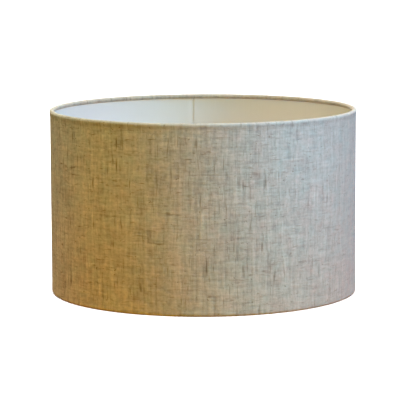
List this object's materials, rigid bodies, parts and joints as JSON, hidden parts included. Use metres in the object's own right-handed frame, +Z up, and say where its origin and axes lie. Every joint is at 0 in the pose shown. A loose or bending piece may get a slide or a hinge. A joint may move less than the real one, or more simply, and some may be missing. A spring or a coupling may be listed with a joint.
{
  "type": "lamp shade",
  "caption": "Drum lamp shade: linen on a white lining, edges rolled round wire rings, with a cranked three-arm bottom fitter and a loose reducer ring for a lamp holder.",
  "frame": {"origin": "centre of the bottom edge, on the plane that the shade stands on", "axes": "+Z up along the drum's axis; -Y is the front that faces the viewer, and the seam is at the back, 2.1 degrees from +Y towards -X"},
  "size_m": [0.4013, 0.4021, 0.24],
  "materials": {
    "linen": "natural unbleached flax linen, plain weave with slubs and dark flecks, matt",
    "lining": "white PVC lampshade lining, fine matt grain",
    "white_steel": "white powder coat on mild steel wire and sheet",
    "tape": "thin white double-sided adhesive tape",
    "reducer_plastic": "moulded white heat-resistant plastic, satin"
  },
  "bodies": {
    "shade": {"linen_cover": "linen", "lining_panel": "lining", "seam_tape": "tape", "top_ring": "white_steel", "bottom_ring": "white_steel", "top_ring_tape": "tape", "bottom_ring_tape": "tape", "fitter_arm_1": "white_steel", "fitter_arm_2": "white_steel", "fitter_arm_3": "white_steel", "fitter_ring": "white_steel"},
    "reducer": {"reducer_ring": "reducer_plastic"}
  },
  "joints": [
    {"name": "reducer_lift", "type": "slide", "parent": "shade", "child": "reducer", "axis": [0, 0, 1], "range_m": [0, 0.24]}
  ]
}
